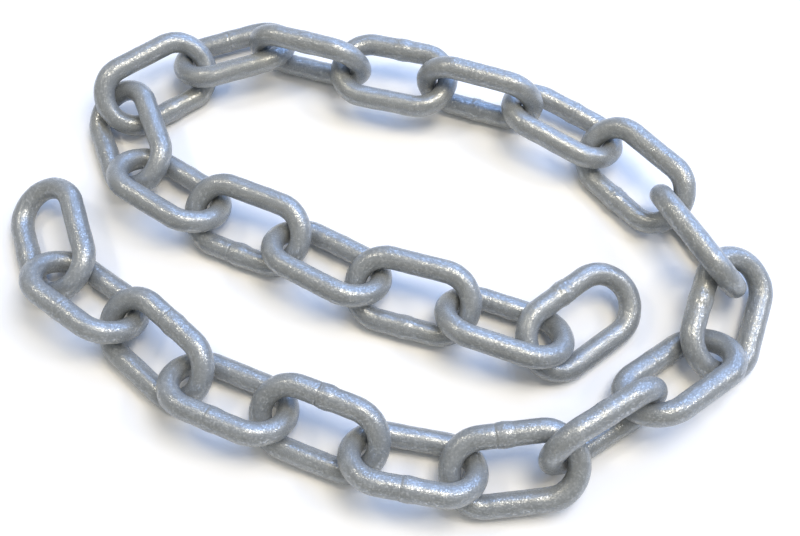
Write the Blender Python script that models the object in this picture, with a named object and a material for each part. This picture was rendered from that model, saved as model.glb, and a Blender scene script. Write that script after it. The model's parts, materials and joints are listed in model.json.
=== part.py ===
"""A cut length of hot-dip galvanized welded chain, 25 oval links, lying in a loose inward spiral.

Units are metres and +Z is up. +X runs along the long arms of the spiral, +Y away from the near side.
The origin is under the middle of the chain, on the floor it lies on.

Each link is one round wire bent to a stadium shape, a little thinner round its crowns, and butt-welded in
the middle of one long side. The route below says where each link lies; settle() then threads, seats and
levels the links, so that each one touches its neighbours and none passes through another or the floor.
"""

import math
from dataclasses import dataclass

import bpy
import numpy as np
from mathutils import Matrix, Vector

# Link sizes
WIRE = 0.0057            # wire diameter over the zinc
PITCH = 0.0241           # inside length of a link
WIDTH = 0.0217           # outside width of a link
WELD_SWELL = 1.08        # wire thickness at the weld, against the plain wire
WELD_REACH = 0.0030      # half the length of wire that the weld swells
CROWN_THIN = 0.93        # wire thickness in the middle of a crown, where the bending stretched it
CLEARANCE = 0.00035      # air left where two links bear on one another

# Fineness
CROWN_STEPS = 10         # straight steps round each half-round end
WIRE_SIDES = 10          # sides of the wire's section
SEAT_POINTS = 96         # points along a link when the links are seated

CROWN_RADIUS = (WIDTH - WIRE) / 2            # to the middle of the wire, across the link
HALF_STRAIGHT = (PITCH + WIRE) / 2 - CROWN_RADIUS
# the same along the link, less so that the thin crown still bears at the full inside length
CROWN_DEPTH = CROWN_RADIUS - (1 - CROWN_THIN) * WIRE / 2
# the many-sided section holds as much steel as the round one
SECTION_RADIUS = WIRE / 2 * math.sqrt(2 * math.pi / (WIRE_SIDES * math.sin(2 * math.pi / WIRE_SIDES)))


@dataclass(frozen=True)
class Lie:
    """How one link lies: its middle on the floor plan, its way along, its lean and its weld.

    Args:
        x: middle of the link to the right, mm.
        y: middle of the link away from the near side, mm.
        way: direction of its length on the plan, degrees from +X.
        lean: turn about its length, degrees. Above zero the side to the left of the way is raised.
        weld: +1 when the weld is in the left side, -1 when it is in the right side.
        rise: how far the link starts above the floor, mm, where its neighbours hold it up.
    """

    x: float
    y: float
    way: float
    lean: float
    weld: int
    rise: float = 0.0


ROUTE = (
    Lie(-84.0, 3.5, -71, 27, -1),
    Lie(-73.5, -13.0, -37, -41, -1),
    Lie(-55.0, -27.0, -45, 38, 1),
    Lie(-37.0, -40.0, -24, -29, -1),
    Lie(-15.5, -47.5, -23, 43, 1),
    Lie(5.0, -57.0, -12, -27, -1),
    Lie(28.0, -58.5, 5, 31, 1),
    Lie(49.5, -50.5, 28, 82, 1),
    Lie(69.5, -38.5, 26, -28, 1),
    Lie(84.4, -22.5, 70, 20, 1),
    Lie(78.2, -4.8, 116, 43, -1),
    Lie(66.6, 17.3, 133, -39, 1),
    Lie(48.0, 33.0, 148, 21, -1),
    Lie(26.0, 41.5, 160, -96, 1),
    Lie(3.0, 48.5, 164, -6, -1, 6.5),
    Lie(-20.0, 55.0, 161, -100, -1),
    Lie(-40.0, 59.0, -164, 20, -1),
    Lie(-61.0, 49.0, -148, -42, 1),
    Lie(-67.0, 33.0, -67, 33, -1),
    Lie(-55.5, 16.0, -34, -27, 1),
    Lie(-34.0, 5.5, -24, 37, -1),
    Lie(-14.5, -5.5, -31, -24, 1),
    Lie(7.0, -15.5, -15, 38, -1),
    Lie(29.0, -24.0, -20, -25, 1),
    Lie(47.5, -23.0, 39, 28, 1),
)


def stadium_point(along):
    """The point at a distance along the middle line of a link's wire.

    Args:
        along: metres from the middle of the left side, towards the front end.

    Returns:
        x along the link and y across it.
    """
    bend = math.pi * CROWN_RADIUS
    lap = 2 * bend + 4 * HALF_STRAIGHT
    along %= lap
    if along < HALF_STRAIGHT:
        return along, CROWN_RADIUS
    if along < HALF_STRAIGHT + bend:
        turn = (along - HALF_STRAIGHT) / CROWN_RADIUS
        return HALF_STRAIGHT + CROWN_DEPTH * math.sin(turn), CROWN_RADIUS * math.cos(turn)
    if along < 3 * HALF_STRAIGHT + bend:
        return 2 * HALF_STRAIGHT + bend - along, -CROWN_RADIUS
    if along < 3 * HALF_STRAIGHT + 2 * bend:
        turn = (along - 3 * HALF_STRAIGHT - bend) / CROWN_RADIUS
        return -HALF_STRAIGHT - CROWN_DEPTH * math.sin(turn), -CROWN_RADIUS * math.cos(turn)
    return along - lap, CROWN_RADIUS


def swell(x, y, weld):
    """How thick the wire is at a point of the link, against plain wire."""
    if abs(x) > HALF_STRAIGHT:
        return 1.0 - (1.0 - CROWN_THIN) * ((abs(x) - HALF_STRAIGHT) / CROWN_DEPTH) ** 2
    near = max(0.0, 1.0 - (x / WELD_REACH) ** 2)
    return 1.0 + (WELD_SWELL - 1.0) * near if y * weld > 0.9 * CROWN_RADIUS else 1.0


def seat_line():
    """Evenly spaced points on the middle line of the wire, for seating, as an array of x and y."""
    lap = 2 * math.pi * CROWN_RADIUS + 4 * HALF_STRAIGHT
    return np.array([stadium_point(lap * i / SEAT_POINTS) for i in range(SEAT_POINTS)])


def mesh_line(weld):
    """The points the wire is swept through: each end in even steps, one side plain, one with its weld."""
    points = []
    weld_side = [-WELD_REACH, -WELD_REACH / 2, 0.0, WELD_REACH / 2, WELD_REACH]
    for side in (1, -1):
        stops = weld_side if side == weld else [0.0]
        points += [(side * x, side * CROWN_RADIUS) for x in stops]
        for step in range(CROWN_STEPS + 1):
            turn = math.pi * step / CROWN_STEPS
            points.append((side * (HALF_STRAIGHT + CROWN_DEPTH * math.sin(turn)),
                           side * CROWN_RADIUS * math.cos(turn)))
    return points


def turned(way, lean):
    """The axes of a link as the columns of a 3 x 3 array: its length, across it, and out of its face."""
    a, b = math.radians(way), math.radians(lean)
    length = np.array([math.cos(a), math.sin(a), 0.0])
    level = np.array([-math.sin(a), math.cos(a), 0.0])
    up = np.array([0.0, 0.0, 1.0])
    return np.stack([length, level * math.cos(b) + up * math.sin(b), up * math.cos(b) - level * math.sin(b)], 1)


def small_turn(vector):
    """The rotation array for a small turn given as axis times radians."""
    angle = float(np.linalg.norm(vector))
    if angle < 1e-12:
        return np.eye(3)
    x, y, z = vector / angle
    skew = np.array([[0, -z, y], [z, 0, -x], [-y, x, 0]])
    return np.eye(3) + math.sin(angle) * skew + (1 - math.cos(angle)) * skew @ skew


def turn_between(now, wanted):
    """The turn, as axis times radians, that carries one set of axes to another."""
    r = wanted @ now.T
    axis = np.array([r[2, 1] - r[1, 2], r[0, 2] - r[2, 0], r[1, 0] - r[0, 1]]) / 2
    size = float(np.linalg.norm(axis))
    if size < 1e-9:
        return np.zeros(3)
    return axis / size * math.atan2(size, (np.trace(r) - 1) / 2)


class Settling:
    """The links as free bodies that push and pull one another into place.

    Args:
        route: the lie wanted for each link.
    """

    GYRATION = 0.55 * (PITCH + WIRE) / 2     # how hard a link is to turn, against how hard it is to push

    def __init__(self, route):
        self.line = seat_line()
        self.wire = np.array([[WIRE / 2 * swell(x, y, lie.weld) for x, y in self.line] for lie in route])
        self.want_turn = [turned(lie.way, lie.lean) for lie in route]
        self.turn = [axes.copy() for axes in self.want_turn]
        self.want = np.array([[lie.x / 1000, lie.y / 1000, 0.0] for lie in route])
        self.middle = self.want.copy()
        for i, lie in enumerate(route):
            self.middle[i, 2] = lie.rise / 1000 + WIRE / 2 - self.points(i)[:, 2].min()

    def points(self, i):
        """The points on the middle line of link i's wire where it now lies."""
        return self.middle[i] + self.line @ self.turn[i][:, :2].T

    def shift(self, i, at, push):
        """Moves link i as a push at one of its points would.

        Args:
            i: which link.
            at: the point, from the link's middle.
            push: the push, as a distance.
        """
        self.middle[i] += push
        self.turn[i] = small_turn(np.cross(at, push) / self.GYRATION ** 2) @ self.turn[i]

    def ease(self, at, toward):
        """How far a unit push at a point moves that point the same way."""
        return 1 + float(np.sum(np.cross(at, toward) ** 2)) / self.GYRATION ** 2

    def part(self, i, j, both_ways, strength):
        """Sets the air between two links, where they are nearest, to the clearance.

        Args:
            i: one link.
            j: the other.
            both_ways: pulls them together too, as well as pushing them apart.
            strength: the part of the error taken out in one go.
        """
        a, b = self.points(i), self.points(j)
        reach = np.linalg.norm(a[:, None] - b[None], axis=2)
        air = reach - self.wire[i][:, None] - self.wire[j][None]
        p, q = np.unravel_index(air.argmin(), air.shape)
        short = CLEARANCE - air[p, q]
        if short < 0 and not both_ways:
            return
        toward = (a[p] - b[q]) / reach[p, q]
        ra, rb = a[p] - self.middle[i], b[q] - self.middle[j]
        push = strength * short / (self.ease(ra, toward) + self.ease(rb, toward)) * toward
        self.shift(i, ra, push)
        self.shift(j, rb, -push)

    def floor(self, i, strength):
        """Lifts link i where it is lowest, if it is below the floor."""
        height = self.points(i)[:, 2] - self.wire[i]
        low = int(height.argmin())
        if height[low] < 0:
            at = self.points(i)[low] - self.middle[i]
            up = np.array([0.0, 0.0, 1.0])
            self.shift(i, at, -strength * height[low] / self.ease(at, up) * up)

    def pull_home(self, i, strength):
        """Draws link i a little towards the lie wanted for it, on the plan and in its turn."""
        self.middle[i, :2] += strength * (self.want[i, :2] - self.middle[i, :2])
        self.turn[i] = small_turn(strength * turn_between(self.turn[i], self.want_turn[i])) @ self.turn[i]

    def run(self, rounds, home, sink):
        """Runs the settling.

        Args:
            rounds: how many times each link is visited.
            home: how strongly each link is drawn to its wanted lie, fading out over the run.
            sink: how far each link sinks per round, in metres, fading out over the run.
        """
        count = len(self.want)
        for step in range(rounds):
            left = 1 - step / rounds
            for i in range(count):
                self.pull_home(i, home * left)
                self.middle[i, 2] -= sink * left
            for i in range(count - 1):
                self.part(i, i + 1, True, 0.7)
            for i in range(count - 2):
                self.part(i, i + 2, False, 0.7)
            for i in range(count):
                self.floor(i, 0.9)


def settle(route):
    """Threads and seats the links.

    Args:
        route: the lie wanted for each link.

    Returns:
        A 4 x 4 matrix for each link that carries it from its own axes to where it lies.
    """
    links = Settling(route)
    links.run(160, 0.10, 0.00006)
    links.run(80, 0.0, 0.000004)
    links.run(60, 0.0, 0.0)
    return [Matrix([[*map(float, turn[r]), float(middle[r])] for r in range(3)] + [[0.0, 0.0, 0.0, 1.0]])
            for turn, middle in zip(links.turn, links.middle)]


def clear_scene():
    """Removes what the scene holds, and the data that leaves behind."""
    for obj in list(bpy.data.objects):
        bpy.data.objects.remove(obj, do_unlink=True)
    for block in (bpy.data.meshes, bpy.data.curves, bpy.data.materials):
        for item in list(block):
            block.remove(item)


def galvanized_steel(name):
    """Dull grey zinc over steel.

    Args:
        name: name of the new material.

    Returns:
        The material.
    """
    material = bpy.data.materials.new(name)
    material.use_nodes = True
    shader = material.node_tree.nodes["Principled BSDF"]
    shader.inputs["Base Color"].default_value = (0.42, 0.44, 0.45, 1.0)
    shader.inputs["Metallic"].default_value = 1.0
    shader.inputs["Roughness"].default_value = 0.45
    return material


def wire_mesh(name, weld, tilt):
    """The mesh of one link, lying flat about its own middle.

    Args:
        name: name of the new mesh.
        weld: +1 or -1, the side that is welded.
        tilt: turn of the wire's section, radians.

    Returns:
        The mesh, swept along a closed curve.
    """
    curve = bpy.data.curves.new(name + "_wire", "CURVE")
    curve.dimensions = "3D"
    curve.twist_mode = "Z_UP"
    curve.bevel_depth = SECTION_RADIUS
    curve.bevel_resolution = WIRE_SIDES // 2 - 2
    line = mesh_line(weld)
    spline = curve.splines.new("POLY")
    spline.points.add(len(line) - 1)
    for point, (x, y) in zip(spline.points, line):
        point.co = (x, y, 0.0, 1.0)
        point.radius = swell(x, y, weld)
        point.tilt = tilt
    spline.use_cyclic_u = True
    bent = bpy.data.objects.new(name + "_wire", curve)
    bpy.context.scene.collection.objects.link(bent)
    bpy.context.view_layer.update()
    mesh = bpy.data.meshes.new_from_object(bent.evaluated_get(bpy.context.evaluated_depsgraph_get()))
    bpy.data.objects.remove(bent, do_unlink=True)
    bpy.data.curves.remove(curve)
    mesh.name = name
    return mesh


def build_link(number, lie, place, collection):
    """Builds one link where it lies.

    Args:
        number: its place in the chain, from 1 at the outer end.
        lie: its lie, for the weld.
        place: the matrix that carries it there.
        collection: the collection that takes it.

    Returns:
        The object, with its place in the mesh.
    """
    name = f"link_{number:02d}"
    lean = math.atan2(place[2][1], place[2][2])
    mesh = wire_mesh(name, lie.weld, abs(lean))    # one flat of the low side faces the floor
    mesh.transform(place)
    mesh.materials.clear()
    mesh.materials.append(galvanized_steel(name + "_zinc"))
    obj = bpy.data.objects.new(name, mesh)
    collection.objects.link(obj)
    return obj


def centre_on_floor(objects):
    """Moves the chain so that the origin is under its middle, on the floor.

    Args:
        objects: every link.
    """
    corners = np.array([v.co[:] for obj in objects for v in obj.data.vertices])
    low, high = corners.min(0), corners.max(0)
    offset = Vector((-(low[0] + high[0]) / 2, -(low[1] + high[1]) / 2, -low[2]))
    for obj in objects:
        obj.data.transform(Matrix.Translation(offset))


def main():
    """Builds the whole chain."""
    clear_scene()
    collection = bpy.data.collections.new("welded_steel_chain")
    bpy.context.scene.collection.children.link(collection)
    places = settle(ROUTE)
    links = [build_link(i + 1, lie, place, collection) for i, (lie, place) in enumerate(zip(ROUTE, places))]
    centre_on_floor(links)


main()
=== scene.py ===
import json
import logging
import math
from collections.abc import Iterator
from contextlib import contextmanager
from dataclasses import dataclass, field
from enum import Enum

import bpy
import numpy as np
from mathutils import Matrix, Vector

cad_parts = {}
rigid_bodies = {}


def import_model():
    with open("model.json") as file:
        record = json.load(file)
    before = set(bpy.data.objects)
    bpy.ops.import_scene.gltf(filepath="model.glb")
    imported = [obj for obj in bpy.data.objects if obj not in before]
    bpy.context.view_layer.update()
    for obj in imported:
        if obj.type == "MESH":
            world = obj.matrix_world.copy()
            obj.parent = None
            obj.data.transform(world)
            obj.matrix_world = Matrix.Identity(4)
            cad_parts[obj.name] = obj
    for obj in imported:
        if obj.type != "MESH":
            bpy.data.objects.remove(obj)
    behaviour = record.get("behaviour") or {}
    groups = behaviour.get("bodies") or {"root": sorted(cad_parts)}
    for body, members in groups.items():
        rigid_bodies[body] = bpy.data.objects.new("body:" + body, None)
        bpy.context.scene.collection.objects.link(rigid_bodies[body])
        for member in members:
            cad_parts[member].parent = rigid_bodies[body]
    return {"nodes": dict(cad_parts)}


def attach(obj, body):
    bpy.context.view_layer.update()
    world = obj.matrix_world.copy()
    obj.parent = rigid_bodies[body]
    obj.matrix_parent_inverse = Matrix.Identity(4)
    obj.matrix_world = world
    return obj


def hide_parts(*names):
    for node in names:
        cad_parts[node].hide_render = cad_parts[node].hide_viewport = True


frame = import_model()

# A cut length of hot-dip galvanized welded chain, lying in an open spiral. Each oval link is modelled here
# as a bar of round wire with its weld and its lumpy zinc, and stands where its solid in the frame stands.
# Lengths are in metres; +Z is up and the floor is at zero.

LOG = logging.getLogger("chain")
MM = 0.001
BODY = "root"
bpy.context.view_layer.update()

Tint = tuple[float, float, float]
Span = tuple[float, float]
VERTICES = (True, False, False)
EDGES = (False, True, False)


# Bench helpers: one object is picked at a time, and what an edit acts on is chosen in code before it

def deselect_all() -> None:
    """Leaves nothing selected and nothing active."""
    for thing in bpy.context.view_layer.objects:
        thing.select_set(False)
    bpy.context.view_layer.objects.active = None


def pick(thing: bpy.types.Object) -> None:
    """Selects one object alone and makes it active.

    Args:
        thing: the object to work on.
    """
    deselect_all()
    thing.select_set(True)
    bpy.context.view_layer.objects.active = thing


@contextmanager
def edit_mode(thing: bpy.types.Object, mode: tuple[bool, bool, bool] = VERTICES) -> Iterator[None]:
    """Opens an object in edit mode, and closes it at the end.

    Args:
        thing: the object to open.
        mode: whether vertices, edges and faces are what is picked.
    """
    pick(thing)
    bpy.context.tool_settings.mesh_select_mode = mode
    bpy.ops.object.mode_set(mode="EDIT")
    yield
    bpy.ops.object.mode_set(mode="OBJECT")


def choose_vertices(mesh: bpy.types.Mesh, chosen: np.ndarray) -> None:
    """Marks the vertices that the next edit acts on, and nothing else.

    Args:
        mesh: the mesh, out of edit mode.
        chosen: one true or false for each vertex.
    """
    mesh.polygons.foreach_set("select", np.zeros(len(mesh.polygons), bool))
    mesh.edges.foreach_set("select", np.zeros(len(mesh.edges), bool))
    mesh.vertices.foreach_set("select", np.ascontiguousarray(chosen, bool))


def vertex_places(mesh: bpy.types.Mesh) -> np.ndarray:
    """Gives the places of a mesh's vertices.

    Args:
        mesh: the mesh to read.

    Returns:
        One row of x, y and z for each vertex.
    """
    flat = np.zeros(len(mesh.vertices) * 3, np.float32)
    mesh.vertices.foreach_get("co", flat)
    return flat.reshape(-1, 3).astype(float)


def put_in_place(thing: bpy.types.Object, place: Matrix) -> None:
    """Moves an object and writes its place into its mesh, so the object itself stays at the origin.

    Args:
        thing: the object, still at the origin.
        place: where it goes.
    """
    thing.matrix_world = place
    pick(thing)
    bpy.ops.object.transform_apply(location=True, rotation=True, scale=True)


# The finish

class Graph:
    """A node tree with short calls for adding nodes and joining them."""

    MIX_FIRST, MIX_SECOND, MIX_RESULT = 6, 7, 2      # the colour sockets of a Mix node

    def __init__(self, tree: bpy.types.NodeTree) -> None:
        """Starts with an empty tree.

        Args:
            tree: the tree of a material, a world or a group.
        """
        self.tree = tree
        tree.nodes.clear()

    def add(self, kind: str, settings: dict | None = None, **inputs: object) -> bpy.types.Node:
        """Adds one node.

        Args:
            kind: the node's type name.
            settings: properties of the node itself.
            inputs: values or sockets for its inputs; an underscore in a name stands for a space.

        Returns:
            The node.
        """
        node = self.tree.nodes.new(kind)
        for name, value in (settings or {}).items():
            setattr(node, name, value)
        for name, value in inputs.items():
            self.feed(node.inputs[name.replace("_", " ")], value)
        return node

    def feed(self, socket: bpy.types.NodeSocket, value: object) -> None:
        """Gives an input its value, or joins another node's output to it.

        Args:
            socket: the input.
            value: a plain value, or the output to join.
        """
        if isinstance(value, bpy.types.NodeSocket):
            self.tree.links.new(value, socket)
        else:
            socket.default_value = value

    def math(self, operation: str, first: object, second: object) -> bpy.types.NodeSocket:
        """Adds one sum of two values.

        Args:
            operation: the kind of sum.
            first: the first value or output.
            second: the second value or output.

        Returns:
            The output.
        """
        node = self.add("ShaderNodeMath", {"operation": operation})
        self.feed(node.inputs[0], first)
        self.feed(node.inputs[1], second)
        return node.outputs[0]

    def ramp(self, value: object, span: Span, full: float = 1.0) -> bpy.types.NodeSocket:
        """Lets a value rise smoothly from nothing to full while another goes through a span.

        Args:
            value: the value or output that is read.
            span: where the rise starts and ends.
            full: how high it goes.

        Returns:
            The output.
        """
        node = self.add("ShaderNodeMapRange", {"interpolation_type": "SMOOTHSTEP"}, Value=value,
                        From_Min=span[0], From_Max=span[1], To_Min=0.0, To_Max=full)
        return node.outputs["Result"]

    def slide(self, share: object, start: object, end: object) -> bpy.types.NodeSocket:
        """Goes evenly from one value to another by a share.

        Args:
            share: the share, from nothing to one.
            start: the value or output at nothing.
            end: the value or output at one.

        Returns:
            The output.
        """
        node = self.add("ShaderNodeMapRange", Value=share, From_Min=0.0, From_Max=1.0, To_Min=start,
                        To_Max=end)
        return node.outputs["Result"]

    def blend(self, share: object, first: object, second: object) -> bpy.types.NodeSocket:
        """Mixes two colours by a share.

        Args:
            share: how much of the second colour there is.
            first: the first colour or output.
            second: the second colour or output.

        Returns:
            The output.
        """
        node = self.add("ShaderNodeMix", {"data_type": "RGBA"}, Factor=share)
        self.feed(node.inputs[self.MIX_FIRST], first)
        self.feed(node.inputs[self.MIX_SECOND], second)
        return node.outputs[self.MIX_RESULT]


def new_group(name: str, inputs: dict[str, str],
              outputs: dict[str, str]) -> tuple[Graph, bpy.types.Node, bpy.types.Node]:
    """Makes a shader node group with named sockets.

    Args:
        name: the group's name.
        inputs: each input's name and kind of socket.
        outputs: each output's name and kind of socket.

    Returns:
        The group's graph, its input node and its output node.
    """
    tree = bpy.data.node_groups.new(name, "ShaderNodeTree")
    for way, sockets in (("INPUT", inputs), ("OUTPUT", outputs)):
        for socket, kind in sockets.items():
            tree.interface.new_socket(name=socket, in_out=way, socket_type="NodeSocket" + kind)
    graph = Graph(tree)
    return graph, graph.add("NodeGroupInput"), graph.add("NodeGroupOutput")


@dataclass(frozen=True)
class ZincGrain:
    """The grain of dipped zinc: fine pits, nodules, and crystals of which some lie bright.

    Attributes:
        pit_layers: how many finer layers the pits have.
        pit_crispness: how strong those layers are.
        pit_share: how much of the relief the pits make.
        nodule_softness: how softly the nodules run into one another.
        nodule_share: how much of the relief the nodules make.
        bright_crystals: the span of the crystals' own values over which they turn bright.
    """

    pit_layers: float = 3.0
    pit_crispness: float = 0.6
    pit_share: float = 0.65
    nodule_softness: float = 0.6
    nodule_share: float = 0.35
    bright_crystals: Span = (0.62, 0.98)

    def group(self) -> bpy.types.NodeTree:
        """Makes the shader node group. The scales of pits, nodules and crystals are its inputs.

        Returns:
            The group, which puts out a height and a mask of the bright flecks.
        """
        graph, given, out = new_group(
            "zinc_grain", {"Place": "Vector", "Grain": "Float", "Nodule": "Float", "Crystal": "Float"},
            {"Height": "Float", "Flecks": "Float"})
        place = given.outputs["Place"]
        pits = graph.add("ShaderNodeTexNoise", Vector=place, Scale=given.outputs["Grain"],
                         Detail=self.pit_layers, Roughness=self.pit_crispness)
        nodules = graph.add("ShaderNodeTexVoronoi", {"feature": "SMOOTH_F1"}, Vector=place,
                            Scale=given.outputs["Nodule"], Smoothness=self.nodule_softness, Randomness=1.0)
        lumps = graph.math("SUBTRACT", 1.0, nodules.outputs["Distance"])
        height = graph.math("ADD", graph.math("MULTIPLY", pits.outputs["Fac"], self.pit_share),
                            graph.math("MULTIPLY", lumps, self.nodule_share))
        graph.feed(out.inputs["Height"], height)
        crystals = graph.add("ShaderNodeTexVoronoi", {"feature": "F1"}, Vector=place,
                             Scale=given.outputs["Crystal"], Randomness=1.0)
        facing = graph.add("ShaderNodeSeparateColor", Color=crystals.outputs["Color"]).outputs["Red"]
        graph.feed(out.inputs["Flecks"], graph.ramp(facing, self.bright_crystals))
        return graph.tree


@dataclass(frozen=True)
class Patches:
    """Soft noise with an edge, which makes patches of one tone in another.

    Attributes:
        scale: scale of the noise.
        layers: how many finer layers it has.
        crispness: how strong those layers are.
        edge: the span of the noise over which a patch comes out.
        strength: how strong a patch gets.
    """

    scale: float
    layers: float
    crispness: float
    edge: Span
    strength: float = 1.0

    def mask(self, graph: Graph, place: bpy.types.NodeSocket) -> bpy.types.NodeSocket:
        """Adds the patches to a tree.

        Args:
            graph: the tree's graph.
            place: the output that gives the place on the piece.

        Returns:
            The output, from nothing to the patches' full strength.
        """
        noise = graph.add("ShaderNodeTexNoise", Vector=place, Scale=self.scale, Detail=self.layers,
                          Roughness=self.crispness)
        return graph.ramp(noise.outputs["Fac"], self.edge, self.strength)


@dataclass(frozen=True)
class ZincTone:
    """The tone of dull zinc: cloudy patches, a finer mottle, small dark specks and the bright flecks.

    Attributes:
        cloud: the cloudy patches.
        cloud_share: how much of the tone the clouds make.
        cloud_gloss: how far a light cloud goes towards the gloss of a fleck.
        mottle: the mottle.
        mottle_share: how much of the tone the mottle makes.
        specks: the dark specks.
        fleck_metal: how metallic a bright fleck is.
    """

    cloud: Patches = Patches(scale=230.0, layers=4.0, crispness=0.55, edge=(0.36, 0.64))
    cloud_share: float = 0.6
    cloud_gloss: float = 0.3
    mottle: Patches = Patches(scale=1100.0, layers=3.0, crispness=0.6, edge=(0.35, 0.65))
    mottle_share: float = 0.4
    specks: Patches = Patches(scale=2100.0, layers=2.0, crispness=0.5, edge=(0.60, 0.74), strength=0.12)
    fleck_metal: float = 0.55

    def group(self) -> bpy.types.NodeTree:
        """Makes the shader node group. Its colours, the flecks and the ends of its gloss are its inputs.

        Returns:
            The group, which puts out a colour, a roughness and how metallic the surface is.
        """
        graph, given, out = new_group(
            "zinc_tone",
            {"Place": "Vector", "Light": "Color", "Dark": "Color", "Speck": "Color", "Bright": "Color",
             "Flecks": "Float", "Smooth": "Float", "Rough": "Float", "Bare": "Float"},
            {"Color": "Color", "Roughness": "Float", "Metallic": "Float"})
        place, flecks = given.outputs["Place"], given.outputs["Flecks"]
        cloud = self.cloud.mask(graph, place)
        tone = graph.math("ADD", graph.math("MULTIPLY", cloud, self.cloud_share),
                          graph.math("MULTIPLY", self.mottle.mask(graph, place), self.mottle_share))
        colour = graph.blend(tone, given.outputs["Dark"], given.outputs["Light"])
        colour = graph.blend(self.specks.mask(graph, place), colour, given.outputs["Speck"])
        graph.feed(out.inputs["Color"], graph.blend(flecks, colour, given.outputs["Bright"]))
        gloss = graph.math("MAXIMUM", flecks, graph.math("MULTIPLY", cloud, self.cloud_gloss))
        rough = graph.slide(gloss, given.outputs["Rough"], given.outputs["Smooth"])
        graph.feed(out.inputs["Roughness"], rough)
        graph.feed(out.inputs["Metallic"], graph.slide(flecks, given.outputs["Bare"], self.fleck_metal))
        return graph.tree


@dataclass(frozen=True)
class DippedZinc:
    """Hot-dip zinc on steel: grey, grainy and mostly dull, with small bright high spots.

    Attributes:
        light: colour of the light patches.
        dark: colour of the dark patches.
        speck: colour of the dark specks.
        bright: colour of the bright flecks.
        metallic: how metallic the dull zinc is.
        smooth: roughness of the bright flecks.
        rough: roughness of the dullest zinc.
        grain: scale of the pits.
        nodule: scale of the nodules.
        crystal: scale of the crystals.
        relief: height of the grain.
    """

    light: Tint = (0.285, 0.298, 0.302)
    dark: Tint = (0.235, 0.247, 0.25)
    speck: Tint = (0.14, 0.14, 0.14)
    bright: Tint = (0.51, 0.53, 0.535)
    metallic: float = 0.30
    smooth: float = 0.22
    rough: float = 0.34
    grain: float = 3200.0
    nodule: float = 2100.0
    crystal: float = 4300.0
    relief: float = 0.08 * MM

    def material(self) -> bpy.types.Material:
        """Makes the material.

        Returns:
            The finished material, with its pattern on Object coordinates.
        """
        material = bpy.data.materials.new("dipped_zinc")
        material.use_nodes = True
        graph = Graph(material.node_tree)
        place = graph.add("ShaderNodeTexCoord").outputs["Object"]
        grain = graph.add("ShaderNodeGroup", {"node_tree": ZincGrain().group()}, Place=place,
                          Grain=self.grain, Nodule=self.nodule, Crystal=self.crystal)
        tone = graph.add("ShaderNodeGroup", {"node_tree": ZincTone().group()}, Place=place,
                         Light=(*self.light, 1.0), Dark=(*self.dark, 1.0), Speck=(*self.speck, 1.0),
                         Bright=(*self.bright, 1.0), Flecks=grain.outputs["Flecks"], Smooth=self.smooth,
                         Rough=self.rough, Bare=self.metallic)
        bump = graph.add("ShaderNodeBump", Strength=1.0, Distance=self.relief, Height=grain.outputs["Height"])
        shader = graph.add("ShaderNodeBsdfPrincipled", Base_Color=tone.outputs["Color"],
                           Roughness=tone.outputs["Roughness"], Metallic=tone.outputs["Metallic"],
                           Normal=bump.outputs["Normal"])
        graph.add("ShaderNodeOutputMaterial", Surface=shader.outputs["BSDF"])
        return material


@dataclass(frozen=True)
class CoatNoise:
    """Soft noise that pushes a surface in and out, as a thick dipped coat does.

    Attributes:
        name: name of the noise.
        size: size of its lumps.
        depth: how far it pushes, from its lowest to its highest value.
        layers: how many finer layers it has.
    """

    name: str
    size: float
    depth: float
    layers: int = 1

    def shape(self, thing: bpy.types.Object) -> None:
        """Pushes a surface by the noise, and leaves the object picked.

        Args:
            thing: the object, already in its place, so that every piece gets lumps of its own.
        """
        noise = bpy.data.textures.get(self.name) or bpy.data.textures.new(self.name, "CLOUDS")
        noise.noise_scale = self.size
        noise.noise_depth = self.layers
        noise.noise_basis = "ORIGINAL_PERLIN"
        push = thing.modifiers.new(self.name, "DISPLACE")
        push.texture = noise
        push.texture_coords = "LOCAL"
        push.mid_level = 0.5
        push.strength = self.depth
        pick(thing)
        bpy.ops.object.modifier_apply(modifier=push.name)


# The chain

class WeldLook(Enum):
    """How the butt weld in the middle of a link's long side looks."""

    FLUSH = "pressed nearly level"
    BEAD = "a soft swelling"
    SEAM = "a swelling with a thin sunk line across the bar"
    ROUGH = "a swelling of uneven small lumps"


@dataclass(frozen=True)
class Weld:
    """One link's weld. Places are measured along the bar from its middle.

    Attributes:
        look: what kind of weld it is.
        swell: how far the swelling stands out.
        shift: where the middle of the swelling is.
        line: where the sunk line is.
        groove: how deep the sunk line is.
        reach: half the swelling's length.
    """

    look: WeldLook
    swell: float = 0.15 * MM
    shift: float = 0.0
    line: float = 0.0
    groove: float = 0.0
    reach: float = 2.6 * MM


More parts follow.
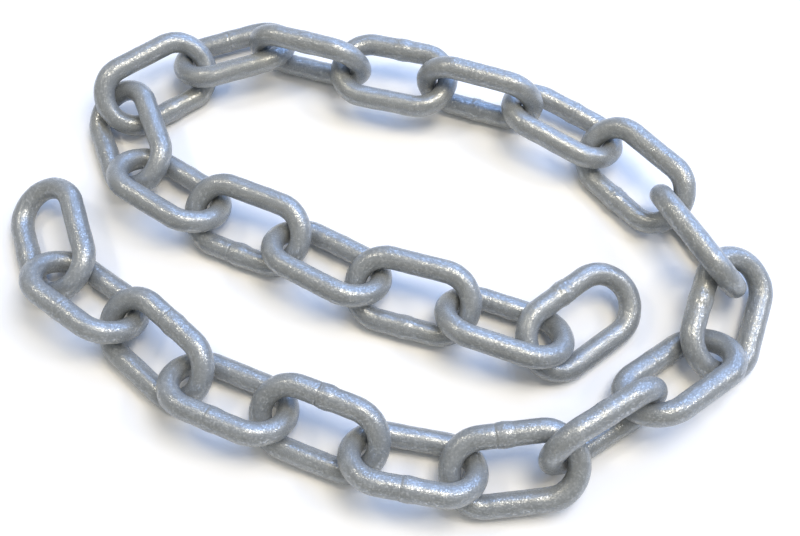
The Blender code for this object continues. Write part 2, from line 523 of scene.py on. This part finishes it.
@dataclass
class LinkBlank:
    """The one bent link that every link of the chain is copied from, level and centred on the origin.

    Attributes:
        wire_radius: half the thickness of the wire, with its zinc.
        crown_radius: half the distance between the two long sides, middle to middle.
        half_straight: half the length of a straight side.
        crown_depth: how far the middle of the wire goes past a straight side at a round end.
        crown_thinning: how much the wire's radius shrinks in the middle of a round end.
        thinning_rounds: in how many small steps it shrinks.
        steps_round_crowns: rings of the wire in both round ends together.
        steps_round_wire: corners of each ring.
        cuts_along_straight: rings added along each straight side.
    """

    wire_radius: float = 2.85 * MM
    crown_radius: float = 8.0 * MM
    half_straight: float = 6.9 * MM
    crown_depth: float = 7.8 * MM
    crown_thinning: float = 0.13 * MM
    thinning_rounds: int = 6
    steps_round_crowns: int = 152
    steps_round_wire: int = 54
    cuts_along_straight: int = 42

    def build(self) -> bpy.types.Object:
        """Bends the blank from a ring of round wire.

        Returns:
            The blank, with its long sides along X and its face in the XY plane.
        """
        deselect_all()
        bpy.ops.mesh.primitive_torus_add(
            major_radius=self.crown_radius, minor_radius=self.wire_radius,
            major_segments=self.steps_round_crowns, minor_segments=self.steps_round_wire)
        blank = bpy.context.object
        blank.name = "link_blank"
        put_in_place(blank, Matrix.Rotation(math.pi / self.steps_round_crowns, 4, "Z"))
        self.part_crowns(blank)
        self.thin_crowns(blank)
        self.cut_straights(blank)
        return blank

    def part_crowns(self, blank: bpy.types.Object) -> None:
        """Flattens the two halves of the ring a little and draws them apart to an oval.

        Args:
            blank: the ring, turned so that none of its corners lies in the middle.
        """
        for side in (1.0, -1.0):
            choose_vertices(blank.data, vertex_places(blank.data)[:, 0] * side > 0.0)
            with edit_mode(blank):
                bpy.ops.transform.resize(value=(self.crown_depth / self.crown_radius, 1.0, 1.0),
                                         center_override=(0.0, 0.0, 0.0))
                bpy.ops.transform.translate(value=(side * self.half_straight, 0.0, 0.0))

    def thin_crowns(self, blank: bpy.types.Object) -> None:
        """Draws the wire thinner towards the middle of each crown, where the bending stretched it.

        Args:
            blank: the oval.
        """
        for step in range(self.thinning_rounds):
            start = math.sqrt((step + 0.5) / self.thinning_rounds) * self.crown_depth
            past = np.abs(vertex_places(blank.data)[:, 0]) - self.half_straight
            choose_vertices(blank.data, past > start)
            with edit_mode(blank):
                bpy.ops.transform.shrink_fatten(value=-self.crown_thinning / self.thinning_rounds)

    def cut_straights(self, blank: bpy.types.Object) -> None:
        """Cuts the long faces of the straight sides into rings, so that a weld can be shaped there.

        Args:
            blank: the oval.
        """
        places = vertex_places(blank.data)
        ends = np.zeros(len(blank.data.edges) * 2, np.int32)
        blank.data.edges.foreach_get("vertices", ends)
        choose_vertices(blank.data, np.zeros(len(places), bool))
        blank.data.edges.foreach_set("select", places[ends.reshape(-1, 2), 0].prod(axis=1) < 0.0)
        with edit_mode(blank, EDGES):
            bpy.ops.mesh.subdivide(number_cuts=self.cuts_along_straight)


@dataclass
class ChainLink:
    """One link: a bent bar of wire, its weld and its coat of zinc.

    Attributes:
        number: its place in the chain, counted from the outer end.
        weld: its weld.
        coat: the noises that shape its zinc.
        weld_zone: how far from the middle of the bar the solid still has corners of its weld.
        crown_margin: how far past a straight side a corner of the solid is surely on a round end.
        swell_rounds: in how many small steps the weld swells.
        pinch_zone: how far from a sunk line the rings are drawn closer to it.
        pinch: what is left of their distance.
        line_reach: how far from a sunk line the wire is pressed in, which takes in one ring alone.
        lump_share: how much of the swelling a rough weld's lumps cover.
        lump_height: how far they are pushed out before they are smoothed.
        lump_smoothing: how much they are smoothed.
    """

    number: int
    weld: Weld
    coat: tuple[CoatNoise, ...] = (
        CoatNoise("zinc_runs", 4.2 * MM, 0.22 * MM), CoatNoise("zinc_nodules", 0.8 * MM, 0.03 * MM))
    weld_zone: float = 3.5 * MM
    crown_margin: float = 0.3 * MM
    swell_rounds: int = 6
    pinch_zone: float = 0.4 * MM
    pinch: float = 0.5
    line_reach: float = 0.1 * MM
    lump_share: float = 0.7
    lump_height: float = 0.16 * MM
    lump_smoothing: float = 0.5

    @property
    def node(self) -> str:
        """Names the link's solid in the frame."""
        return f"link_{self.number:02d}"

    def stance(self, blank: LinkBlank) -> Matrix:
        """Reads from the link's solid where the link lies and how it leans.

        Args:
            blank: the blank, whose sizes tell the straight sides from the crowns.

        Returns:
            The place of the link: X along it, Y across it towards its weld, Z out of its face.
        """
        places = np.unique(np.round(vertex_places(frame["nodes"][self.node].data), 7), axis=0)
        middle = places.mean(axis=0)
        # The widest spread of the corners is along the link, and the next one is across it.
        _, ways = np.linalg.eigh((places - middle).T @ (places - middle))
        along, across = ways[:, 2], ways[:, 1]
        out = np.cross(along, across)
        if out[2] < 0.0:
            along, out = -along, -out
        local = (places - middle) @ np.column_stack((along, across, out))
        lengthways = 0.5 * (local[:, 0].min() + local[:, 0].max())
        # The welded side has more corners near its middle than the plain one.
        sideways = local[np.abs(local[:, 0] - lengthways) < self.weld_zone, 1]
        if np.count_nonzero(sideways > 0.0) < np.count_nonzero(sideways < 0.0):
            along, across, lengthways = -along, -across, -lengthways
            local[:, :2] *= -1.0
        crowns = local[np.abs(local[:, 0] - lengthways) > blank.half_straight + self.crown_margin]
        centre = middle + along * lengthways + across * crowns[:, 1].mean() + out * crowns[:, 2].mean()
        columns = np.eye(4)
        columns[:3] = np.column_stack((along, across, out, centre))
        return Matrix(columns.tolist())

    def press(self, link: bpy.types.Object, middle: float, reach: float, height: float) -> None:
        """Fattens or sinks a short band of the wire on the welded side.

        Args:
            link: the link, level and centred on the origin.
            middle: the band's place along the bar.
            reach: half the band's width.
            height: how far its surface moves outwards.
        """
        self.choose_band(link, middle, reach)
        with edit_mode(link):
            bpy.ops.transform.shrink_fatten(value=height)

    def choose_band(self, link: bpy.types.Object, middle: float, reach: float) -> None:
        """Marks a short band of the wire on the welded side, the one towards +Y.

        Args:
            link: the link, level and centred on the origin.
            middle: the band's place along the bar.
            reach: half the band's width.
        """
        places = vertex_places(link.data)
        choose_vertices(link.data, (np.abs(places[:, 0] - middle) < reach) & (places[:, 1] > 0.0))

    def make_weld(self, link: bpy.types.Object) -> None:
        """Swells the wire at the weld in small steps, each on a shorter band, and finishes it by its look.

        Args:
            link: the link, level and centred on the origin.
        """
        weld = self.weld
        for step in range(self.swell_rounds):
            reach = weld.reach * (1.0 - math.acos(1.0 - 2.0 * (step + 0.5) / self.swell_rounds) / math.pi)
            self.press(link, weld.shift, reach, weld.swell / self.swell_rounds)
        if weld.look is WeldLook.SEAM:
            self.sink_line(link)
        elif weld.look is WeldLook.ROUGH:
            self.roughen(link)

    def sink_line(self, link: bpy.types.Object) -> None:
        """Sinks the thin line that the two upset ends of the bar leave between them.

        Args:
            link: the link, level and centred on the origin.
        """
        rings = np.unique(np.round(vertex_places(link.data)[:, 0], 6))
        ring = float(rings[np.argmin(np.abs(rings - self.weld.line))])
        self.choose_band(link, ring, self.pinch_zone)
        with edit_mode(link):
            bpy.ops.transform.resize(value=(self.pinch, 1.0, 1.0), center_override=(ring, 0.0, 0.0))
        self.press(link, ring, self.line_reach, -self.weld.groove)

    def roughen(self, link: bpy.types.Object) -> None:
        """Makes the swelling lumpy.

        Args:
            link: the link, level and centred on the origin.
        """
        self.choose_band(link, self.weld.shift, self.weld.reach * self.lump_share)
        with edit_mode(link):
            bpy.ops.transform.vertex_random(offset=self.lump_height, uniform=0.0, normal=1.0,
                                            seed=self.number)
            bpy.ops.mesh.vertices_smooth(factor=self.lump_smoothing, repeat=1)

    def build(self, blank: LinkBlank, pattern: bpy.types.Object,
              zinc: bpy.types.Material) -> bpy.types.Object:
        """Copies the blank, welds it, lays it in its place in the chain and coats it.

        Args:
            blank: the blank's sizes.
            pattern: the blank itself.
            zinc: the finish.

        Returns:
            The finished link.
        """
        link = pattern.copy()
        link.data = pattern.data.copy()
        link.name = link.data.name = f"{self.node}_zinc"
        bpy.context.scene.collection.objects.link(link)
        self.make_weld(link)
        put_in_place(link, self.stance(blank))
        for noise in self.coat:
            noise.shape(link)
        bpy.ops.object.shade_smooth()
        link.data.materials.clear()
        link.data.materials.append(zinc)
        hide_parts(self.node)
        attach(link, BODY)
        LOG.info("%s: weld %s, %d faces", link.name, self.weld.look.name.lower(), len(link.data.polygons))
        return link


@dataclass
class Chain:
    """The whole length of chain, from its outer end link to its inner one.

    Attributes:
        zinc: the finish of every link.
        blank: the link that all are copied from.
        welds: each link's weld, by the link's number.
    """

    zinc: DippedZinc = field(default_factory=DippedZinc)
    blank: LinkBlank = field(default_factory=LinkBlank)
    welds: dict[int, Weld] = field(default_factory=lambda: {
        1: Weld(WeldLook.BEAD),
        2: Weld(WeldLook.SEAM, swell=0.12 * MM, line=-0.3 * MM, groove=0.08 * MM),
        3: Weld(WeldLook.SEAM, swell=0.22 * MM, shift=0.8 * MM, line=-1.7 * MM, groove=0.14 * MM),
        4: Weld(WeldLook.SEAM, swell=0.16 * MM, line=1.0 * MM, groove=0.12 * MM),
        5: Weld(WeldLook.SEAM, swell=0.28 * MM, shift=-0.3 * MM, line=-2.5 * MM, groove=0.1 * MM),
        6: Weld(WeldLook.SEAM, swell=0.2 * MM, shift=0.2 * MM, line=1.8 * MM, groove=0.09 * MM),
        7: Weld(WeldLook.SEAM, swell=0.24 * MM, shift=-1.1 * MM, line=-3.0 * MM, groove=0.13 * MM),
        8: Weld(WeldLook.BEAD, swell=0.12 * MM),
        9: Weld(WeldLook.SEAM, swell=0.08 * MM, line=-1.1 * MM, groove=0.07 * MM),
        10: Weld(WeldLook.BEAD, swell=0.2 * MM),
        11: Weld(WeldLook.BEAD),
        12: Weld(WeldLook.ROUGH, swell=0.25 * MM),
        13: Weld(WeldLook.SEAM, swell=0.15 * MM, shift=0.8 * MM, line=1.5 * MM, groove=0.08 * MM),
        14: Weld(WeldLook.ROUGH, swell=0.2 * MM),
        15: Weld(WeldLook.BEAD, swell=0.2 * MM, shift=0.7 * MM),
        16: Weld(WeldLook.FLUSH, swell=0.08 * MM),
        17: Weld(WeldLook.SEAM, swell=0.08 * MM, line=-0.5 * MM, groove=0.07 * MM),
        18: Weld(WeldLook.BEAD),
        19: Weld(WeldLook.FLUSH, swell=0.08 * MM),
        20: Weld(WeldLook.FLUSH, swell=0.08 * MM),
        21: Weld(WeldLook.SEAM, swell=0.28 * MM, shift=-0.4 * MM, line=2.0 * MM, groove=0.14 * MM),
        22: Weld(WeldLook.FLUSH, swell=0.08 * MM),
        23: Weld(WeldLook.BEAD, swell=0.2 * MM),
        24: Weld(WeldLook.FLUSH, swell=0.08 * MM),
        25: Weld(WeldLook.ROUGH, swell=0.2 * MM, shift=0.5 * MM)})

    def build(self) -> list[bpy.types.Object]:
        """Makes every link.

        Returns:
            The links in their order along the chain.
        """
        pattern = self.blank.build()
        zinc = self.zinc.material()
        links = [ChainLink(number, weld).build(self.blank, pattern, zinc)
                 for number, weld in self.welds.items()]
        bpy.data.objects.remove(pattern)
        return links


# The studio

@dataclass(frozen=True)
class Lamp:
    """One soft light, aimed at the middle of the chain.

    Attributes:
        name: what the light is.
        azimuth: the way it stands in, in degrees from +X.
        height: how high it stands, in degrees above the floor.
        distance: how far it is.
        width: its size across.
        depth: its size the other way.
        watts: its power.
        colour: its tint.
    """

    name: str
    azimuth: float
    height: float
    distance: float
    width: float
    depth: float
    watts: float
    colour: Tint

    def build(self) -> None:
        """Hangs the light."""
        turn, rise = math.radians(self.azimuth), math.radians(self.height)
        place = Vector((math.cos(rise) * math.cos(turn), math.cos(rise) * math.sin(turn), math.sin(rise)))
        data = bpy.data.lights.new(self.name, "AREA")
        data.shape = "RECTANGLE"
        data.size, data.size_y = self.width, self.depth
        data.energy, data.color = self.watts, self.colour
        lamp = bpy.data.objects.new(self.name, data)
        lamp.location = place * self.distance
        lamp.rotation_euler = place.to_track_quat("Z", "Y").to_euler()
        bpy.context.scene.collection.objects.link(lamp)
        LOG.info("%s: %.2f W", lamp.name, self.watts)


@dataclass
class Studio:
    """A white table top, a large cool window on the far right, three small warm lamps and the camera.

    Attributes:
        target: the point on the floor that the camera looks at.
        tilt: how far from plumb the camera looks, in degrees.
        roll: how far the picture is turned, in degrees.
        distance: how far the camera is from its target.
        lens: the camera's focal length in millimetres.
        sensor: the width of its sensor in millimetres.
        near_limit: the nearest distance that the camera sees.
        floor_size: the side of the table top.
        floor_tint: its colour.
        floor_roughness: how rough it is.
        floor_gloss: how strongly it mirrors.
        sky: the tint of the room.
        sky_strength: how bright the room is.
        lamps: the window and the lamps.
    """

    target: tuple[float, float, float] = (4.42 * MM, -5.54 * MM, 0.0)
    tilt: float = 24.412
    roll: float = -1.556
    distance: float = 239.5 * MM
    lens: float = 41.96
    sensor: float = 36.0
    near_limit: float = 10.0 * MM
    floor_size: float = 6.0
    floor_tint: Tint = (0.90, 0.90, 0.90)
    floor_roughness: float = 0.75
    floor_gloss: float = 0.2
    sky: Tint = (0.98, 0.99, 0.98)
    sky_strength: float = 0.455
    lamps: tuple[Lamp, ...] = (
        Lamp("window", azimuth=50.0, height=40.0, distance=1.2, width=1.55, depth=1.45, watts=19.4,
             colour=(0.26, 0.49, 1.0)),
        Lamp("lamp_left", azimuth=158.0, height=57.0, distance=0.42, width=0.07, depth=0.07, watts=0.26,
             colour=(1.0, 0.90, 0.72)),
        Lamp("lamp_right", azimuth=0.0, height=45.0, distance=1.2, width=0.17, depth=0.17, watts=2.2,
             colour=(1.0, 0.93, 0.82)),
        Lamp("ceiling", azimuth=5.0, height=76.0, distance=0.43, width=0.17, depth=0.17, watts=0.98,
             colour=(1.0, 0.90, 0.72)),
    )

    def build_floor(self) -> None:
        """Lays the plain white table top."""
        deselect_all()
        bpy.ops.mesh.primitive_plane_add(size=self.floor_size)
        floor = bpy.context.object
        floor.name = "table_top"
        material = bpy.data.materials.new("white_table")
        material.use_nodes = True
        graph = Graph(material.node_tree)
        shader = graph.add("ShaderNodeBsdfPrincipled", Base_Color=(*self.floor_tint, 1.0),
                           Roughness=self.floor_roughness, Specular_IOR_Level=self.floor_gloss)
        graph.add("ShaderNodeOutputMaterial", Surface=shader.outputs["BSDF"])
        floor.data.materials.append(material)
        LOG.info("%s: %.1f m square", floor.name, self.floor_size)

    def build_camera(self) -> None:
        """Sets the camera above the near side, looking down at the chain."""
        tilt, roll = math.radians(self.tilt), math.radians(self.roll)
        look = Vector((0.0, math.sin(tilt), -math.cos(tilt)))
        level, rise = Vector((1.0, 0.0, 0.0)), Vector((0.0, math.cos(tilt), math.sin(tilt)))
        right = level * math.cos(roll) + rise * math.sin(roll)
        up = rise * math.cos(roll) - level * math.sin(roll)
        place = Vector(self.target) - look * self.distance
        data = bpy.data.cameras.new("camera")
        data.sensor_fit = "HORIZONTAL"
        data.sensor_width = self.sensor
        data.lens = self.lens
        data.clip_start = self.near_limit
        camera = bpy.data.objects.new("camera", data)
        camera.matrix_world = Matrix((
            (right.x, up.x, -look.x, place.x), (right.y, up.y, -look.y, place.y),
            (right.z, up.z, -look.z, place.z), (0.0, 0.0, 0.0, 1.0)))
        bpy.context.scene.collection.objects.link(camera)
        bpy.context.scene.camera = camera
        LOG.info("%s: %.0f mm from the chain", camera.name, self.distance / MM)

    def build_light(self) -> None:
        """Hangs the lights and tints the room."""
        for lamp in self.lamps:
            lamp.build()
        world = bpy.data.worlds.new("room")
        world.use_nodes = True
        graph = Graph(world.node_tree)
        room = graph.add("ShaderNodeBackground", Color=(*self.sky, 1.0), Strength=self.sky_strength)
        graph.add("ShaderNodeOutputWorld", Surface=room.outputs["Background"])
        bpy.context.scene.world = world
        bpy.context.scene.view_settings.view_transform = "Standard"

    def build(self) -> None:
        """Builds the floor, the camera and the light."""
        self.build_floor()
        self.build_camera()
        self.build_light()


def main() -> None:
    """Builds the chain and its studio."""
    logging.basicConfig(level=logging.INFO, format="%(name)s: %(message)s")
    links = Chain().build()
    Studio().build()
    bpy.context.view_layer.update()
    LOG.info("chain: %d links", len(links))


if __name__ == "__main__":
    main()
